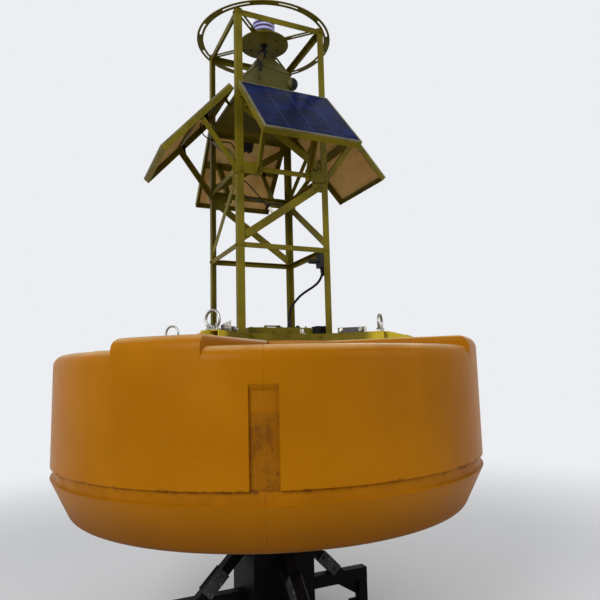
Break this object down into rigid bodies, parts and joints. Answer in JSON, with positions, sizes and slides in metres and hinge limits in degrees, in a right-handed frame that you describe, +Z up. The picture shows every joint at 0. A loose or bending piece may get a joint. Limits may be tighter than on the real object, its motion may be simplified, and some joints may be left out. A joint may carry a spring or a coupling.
{
  "type": "water quality monitoring buoy",
  "caption": "Round amber float on a lower stand frame, with a lattice tower, tilted solar panels, a top ring, a lantern and a hinged well hatch.",
  "frame": {"origin": "on the floor under the middle of the float", "axes": "+Z up the tower; the tower's sides lie along X and Y, and the hatch opens from -Y"},
  "size_m": [2.3998, 2.3998, 3.796],
  "materials": {
    "aluminium": "anodised aluminium edge of the solar module",
    "black_plastic": "moulded, matt",
    "bright_steel": "polished stainless steel",
    "clear_lens": "clear ribbed lens",
    "float_plastic": "rotationally moulded polyethylene, satin with scuffs",
    "frame_black": "black epoxy paint",
    "galvanised": "black painted plate, dusty",
    "lantern_body": "moulded lantern body",
    "solar_glass": "dark blue cells under glass",
    "tower_paint": "yellow-green paint over steel, dulled",
    "white_plastic": "moulded connector"
  },
  "bodies": {
    "root": {"base_frame": "tower_paint", "box_hood": "tower_paint", "box_knob": "black_plastic", "cable_clips": "black_plastic", "cable_glands": "black_plastic", "cable_joint": "black_plastic", "cable_main": "black_plastic", "centre_well": "frame_black", "cross_bars": "tower_paint", "deck_arms": "tower_paint", "deck_box": "black_plastic", "fish_plates": "galvanised", "float_flange": "frame_black", "float_segment_1": "float_plastic", "float_segment_2": "float_plastic", "float_segment_3": "float_plastic", "float_segment_4": "float_plastic", "frame_leg_1": "frame_black", "frame_leg_2": "frame_black", "frame_leg_3": "frame_black", "frame_leg_4": "frame_black", "frame_struts": "frame_black", "guard_ring": "tower_paint", "hatch_hinge": "bright_steel", "hatch_plinth": "tower_paint", "instrument_box": "tower_paint", "joint_plates": "bright_steel", "junction_boxes": "black_plastic", "lantern_base": "lantern_body", "lantern_disc": "tower_paint", "lantern_lens": "clear_lens", "lead_connector": "white_plastic", "lead_cross": "black_plastic", "lead_front": "black_plastic", "lead_left": "black_plastic", "level_bars": "tower_paint", "lifting_ring_a": "bright_steel", "lifting_ring_b": "bright_steel", "lifting_ring_c": "bright_steel", "lifting_ring_d": "bright_steel", "lower_diagonals": "tower_paint", "module_edges": "aluminium", "neck": "black_plastic", "panel_brackets": "tower_paint", "panel_frame_1": "tower_paint", "panel_frame_2": "tower_paint", "panel_frame_3": "tower_paint", "panel_frame_4": "tower_paint", "panel_laminates": "solar_glass", "panel_props": "tower_paint", "post_a": "tower_paint", "post_b": "tower_paint", "post_c": "tower_paint", "post_d": "tower_paint", "shelf": "tower_paint", "top_bars": "tower_paint", "upper_diagonals": "tower_paint"},
    "hatch": {"hatch_lid": "tower_paint"}
  },
  "joints": [
    {"name": "hatch_hinge", "type": "hinge", "parent": "root", "child": "hatch", "pos_m": [0, 0.189, 1.776], "axis": [-1, 0, 0], "range_deg": [0, 100]}
  ]
}
